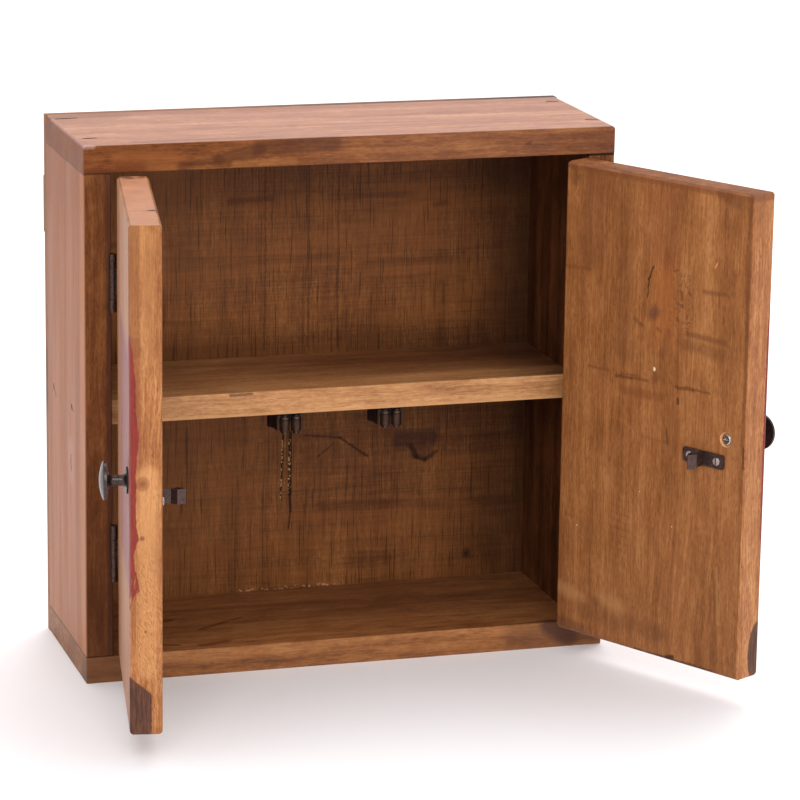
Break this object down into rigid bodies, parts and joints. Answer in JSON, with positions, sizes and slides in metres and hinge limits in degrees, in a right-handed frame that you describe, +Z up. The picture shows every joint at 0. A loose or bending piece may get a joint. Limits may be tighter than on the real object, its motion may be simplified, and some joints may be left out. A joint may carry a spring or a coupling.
{
  "type": "medicine cabinet",
  "caption": "Small wooden wall cabinet for medicines with a shelf, hinged doors with mushroom knobs, and roller catches under the shelf.",
  "frame": {"origin": "middle of the underside of the case", "axes": "+X to the right seen from the front, +Y from the doors to the wall, +Z up"},
  "size_m": [0.4367, 0.2873, 0.35],
  "materials": {
    "case_wood": "satin varnish",
    "back_wood": "dull",
    "door_wood": "satin varnish",
    "hinge_bronze": "darkened",
    "hinge_screws": "darkened",
    "knob_pewter": "antique",
    "bright_screw": "bright",
    "strike_steel": "tarnished",
    "catch_steel": "tarnished",
    "plate_steel": "dull",
    "nail_steel": "rusted"
  },
  "bodies": {
    "case": {"back_panel": "back_wood", "back_panel_nails": "nail_steel", "bottom_board": "case_wood", "bottom_board_nails": "nail_steel", "keyhole_plate_screws": "plate_steel", "left_catch_body": "catch_steel", "left_catch_screws": "catch_steel", "left_frame_leaf_screws": "hinge_screws", "left_keyhole_plate": "plate_steel", "left_lower_frame_leaf": "hinge_bronze", "left_lower_hinge_pin": "hinge_bronze", "left_side_board": "case_wood", "left_upper_frame_leaf": "hinge_bronze", "left_upper_hinge_pin": "hinge_bronze", "right_catch_body": "catch_steel", "right_catch_screws": "catch_steel", "right_frame_leaf_screws": "hinge_screws", "right_keyhole_plate": "plate_steel", "right_lower_frame_leaf": "hinge_bronze", "right_lower_hinge_pin": "hinge_bronze", "right_side_board": "case_wood", "right_upper_frame_leaf": "hinge_bronze", "right_upper_hinge_pin": "hinge_bronze", "shelf": "case_wood", "shelf_nails": "nail_steel", "top_board": "case_wood", "top_board_nails": "nail_steel"},
    "left_door": {"left_door_leaf_screws": "hinge_screws", "left_door_panel": "door_wood", "left_knob": "knob_pewter", "left_knob_backplate": "knob_pewter", "left_knob_screw": "bright_screw", "left_lower_door_leaf": "hinge_bronze", "left_strike": "strike_steel", "left_strike_screws": "bright_screw", "left_upper_door_leaf": "hinge_bronze"},
    "left_catch_left_arm": {"left_catch_left_spring": "catch_steel", "left_catch_left_roller_pin": "catch_steel"},
    "left_catch_left_wheel": {"left_catch_left_roller": "catch_steel"},
    "left_catch_right_arm": {"left_catch_right_spring": "catch_steel", "left_catch_right_roller_pin": "catch_steel"},
    "left_catch_right_wheel": {"left_catch_right_roller": "catch_steel"},
    "right_door": {"right_door_leaf_screws": "hinge_screws", "right_door_panel": "door_wood", "right_knob": "knob_pewter", "right_knob_backplate": "knob_pewter", "right_knob_screw": "bright_screw", "right_lower_door_leaf": "hinge_bronze", "right_strike": "strike_steel", "right_strike_screws": "bright_screw", "right_upper_door_leaf": "hinge_bronze"},
    "right_catch_left_arm": {"right_catch_left_spring": "catch_steel", "right_catch_left_roller_pin": "catch_steel"},
    "right_catch_left_wheel": {"right_catch_left_roller": "catch_steel"},
    "right_catch_right_arm": {"right_catch_right_spring": "catch_steel", "right_catch_right_roller_pin": "catch_steel"},
    "right_catch_right_wheel": {"right_catch_right_roller": "catch_steel"}
  },
  "joints": [
    {"name": "left_door_hinge", "type": "hinge", "parent": "case", "child": "left_door", "pos_m": [-0.1571, -0.06475, 0.1751], "axis": [0, 0, -1], "range_deg": [-100, 78]},
    {"name": "right_door_hinge", "type": "hinge", "parent": "case", "child": "right_door", "pos_m": [0.1571, -0.06475, 0.1751], "axis": [0, 0, 1], "range_deg": [-118.5, 59.5]},
    {"name": "left_catch_left_arm_bend", "type": "hinge", "parent": "case", "child": "left_catch_left_arm", "pos_m": [-0.04, -0.01525, 0.1585], "axis": [0, 0, -1], "range_deg": [0, 9], "stiffness_Nm_per_rad": 0.2, "springref_deg": -5.73},
    {"name": "left_catch_left_roller_spin", "type": "hinge", "parent": "left_catch_left_arm", "child": "left_catch_left_wheel", "pos_m": [-0.03785, -0.03675, 0.157], "axis": [0, 0, 1], "continuous": true},
    {"name": "left_catch_right_arm_bend", "type": "hinge", "parent": "case", "child": "left_catch_right_arm", "pos_m": [-0.028, -0.01525, 0.1585], "axis": [0, 0, 1], "range_deg": [0, 9], "stiffness_Nm_per_rad": 0.2, "springref_deg": -5.73},
    {"name": "left_catch_right_roller_spin", "type": "hinge", "parent": "left_catch_right_arm", "child": "left_catch_right_wheel", "pos_m": [-0.03015, -0.03675, 0.157], "axis": [0, 0, 1], "continuous": true},
    {"name": "right_catch_left_arm_bend", "type": "hinge", "parent": "case", "child": "right_catch_left_arm", "pos_m": [0.028, -0.01525, 0.1585], "axis": [0, 0, -1], "range_deg": [0, 9], "stiffness_Nm_per_rad": 0.2, "springref_deg": -5.73},
    {"name": "right_catch_left_roller_spin", "type": "hinge", "parent": "right_catch_left_arm", "child": "right_catch_left_wheel", "pos_m": [0.03015, -0.03675, 0.157], "axis": [0, 0, 1], "continuous": true},
    {"name": "right_catch_right_arm_bend", "type": "hinge", "parent": "case", "child": "right_catch_right_arm", "pos_m": [0.04, -0.01525, 0.1585], "axis": [0, 0, 1], "range_deg": [0, 9], "stiffness_Nm_per_rad": 0.2, "springref_deg": -5.73},
    {"name": "right_catch_right_roller_spin", "type": "hinge", "parent": "right_catch_right_arm", "child": "right_catch_right_wheel", "pos_m": [0.03785, -0.03675, 0.157], "axis": [0, 0, 1], "continuous": true}
  ]
}
